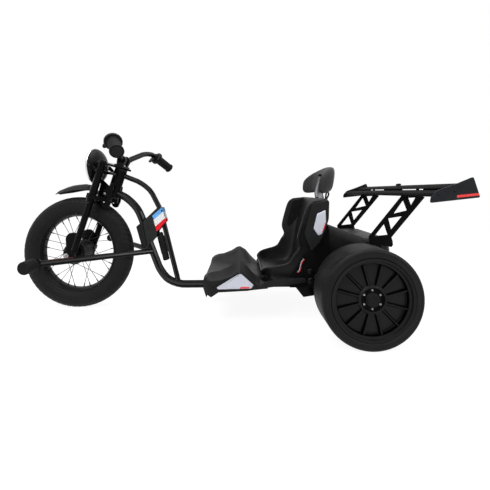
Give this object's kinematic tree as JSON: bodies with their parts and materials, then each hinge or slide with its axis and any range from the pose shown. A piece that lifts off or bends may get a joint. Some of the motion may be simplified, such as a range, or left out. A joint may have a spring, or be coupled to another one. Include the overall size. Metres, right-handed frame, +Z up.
{
  "type": "electric drift tricycle",
  "caption": "Low electric drift tricycle: spoked motor wheel in a bent tube frame, bucket seat with headrest, free rear wheels and a wing on truss struts.",
  "frame": {"origin": "on the floor, under the middle of the tricycle's box", "axes": "+X to the rear, +Y to the rider's right, +Z up; the front wheel is turned 2 degrees at rest"},
  "size_m": [1.519, 0.662, 0.6396],
  "materials": {
    "black_paint": "satin black paint",
    "black_plastic": "fine grained black plastic",
    "rubber": "matte black rubber",
    "tyre": "dark grey-black tyre rubber",
    "steel": "zinc plated steel",
    "chrome": "bright chrome",
    "dark_metal": "black anodised casting",
    "lens": "clear lens",
    "dark_panel": "satin dark slate panel",
    "silver_panel": "silver-lilac film",
    "padding": "soft black padding skin",
    "battery_case": "dark battery case"
  },
  "bodies": {
    "frame": {"head_tube": "black_paint", "headset": "steel", "main_tube": "black_paint", "upper_tube": "black_paint", "peg_bar_left": "black_paint", "peg_bar_right": "black_paint", "foot_peg_left": "rubber", "foot_peg_right": "rubber", "side_plate_left": "dark_panel", "side_plate_right": "dark_panel", "controller_box": "black_plastic", "canister": "dark_metal", "floor_body": "black_plastic", "side_panel_left": "silver_panel", "side_panel_right": "silver_panel", "body_mount": "black_paint", "seat_shell": "black_plastic", "seat_mount": "black_paint", "headrest_guide": "black_paint", "axle_housing": "black_paint", "rear_axle": "steel", "subframe": "black_paint", "battery_pack": "battery_case", "rear_cowl": "black_plastic", "strut_left": "black_paint", "strut_right": "black_paint", "wing": "black_plastic", "wing_end_left": "dark_panel", "wing_end_right": "dark_panel"},
    "steering": {"steerer": "steel", "top_clamp": "black_paint", "fork_crown": "black_paint", "fork_leg_left": "black_paint", "fork_leg_right": "black_paint", "front_axle": "steel", "front_fender": "black_plastic", "handlebar": "black_paint", "bar_clamp": "dark_metal", "grip_left": "rubber", "grip_right": "rubber", "brake_housing": "dark_metal", "throttle_housing": "dark_metal", "lamp_bracket": "black_paint"},
    "front_wheel": {"front_tyre": "tyre", "front_rim": "black_paint", "hub_motor": "dark_metal", "front_spokes": "steel"},
    "headlight": {"headlight_shell": "black_paint", "headlight_lens": "lens"},
    "throttle": {"throttle_paddle": "black_plastic"},
    "brake": {"brake_paddle": "black_plastic"},
    "headrest": {"headrest_post": "chrome", "headrest_pad": "padding"},
    "rear_wheel_left": {"rear_tyre_left": "tyre", "rear_rim_left": "black_plastic", "rear_hub_cap_left": "steel"},
    "rear_wheel_right": {"rear_tyre_right": "tyre", "rear_rim_right": "black_plastic", "rear_hub_cap_right": "steel"}
  },
  "joints": [
    {"name": "steering_turn", "type": "hinge", "parent": "frame", "child": "steering", "pos_m": [-0.41472, 0, 0.41345], "axis": [0.309, 0, 0.9511], "range_deg": [-16, 20]},
    {"name": "front_wheel_spin", "type": "hinge", "parent": "steering", "child": "front_wheel", "pos_m": [-0.54382, 0.00215, 0.21566], "axis": [0.0332, 0.9994, -0.0108], "continuous": true},
    {"name": "headlight_tilt", "type": "hinge", "parent": "steering", "child": "headlight", "pos_m": [-0.46411, 0.00314, 0.55252], "axis": [0.0332, 0.9994, -0.0108], "range_deg": [-10, 14]},
    {"name": "throttle_press", "type": "hinge", "parent": "steering", "child": "throttle", "pos_m": [-0.30418, 0.20091, 0.61318], "axis": [0.5177, 0.6955, -0.4982], "range_deg": [-35, 0], "stiffness_Nm_per_rad": 0.05, "springref_deg": 17.19},
    {"name": "brake_press", "type": "hinge", "parent": "steering", "child": "brake", "pos_m": [-0.31761, -0.20345, 0.61755], "axis": [-0.4701, 0.7389, 0.4827], "range_deg": [-35, 0], "stiffness_Nm_per_rad": 0.05, "springref_deg": 17.19},
    {"name": "headrest_slide", "type": "slide", "parent": "frame", "child": "headrest", "axis": [0.0785, 0, 0.9969], "range_m": [0, 0.04]},
    {"name": "rear_wheel_left_spin", "type": "hinge", "parent": "frame", "child": "rear_wheel_left", "pos_m": [0.47014, 0, 0.1456], "axis": [0, 1, 0], "continuous": true},
    {"name": "rear_wheel_right_spin", "type": "hinge", "parent": "frame", "child": "rear_wheel_right", "pos_m": [0.47014, 0, 0.1456], "axis": [0, 1, 0], "continuous": true}
  ]
}
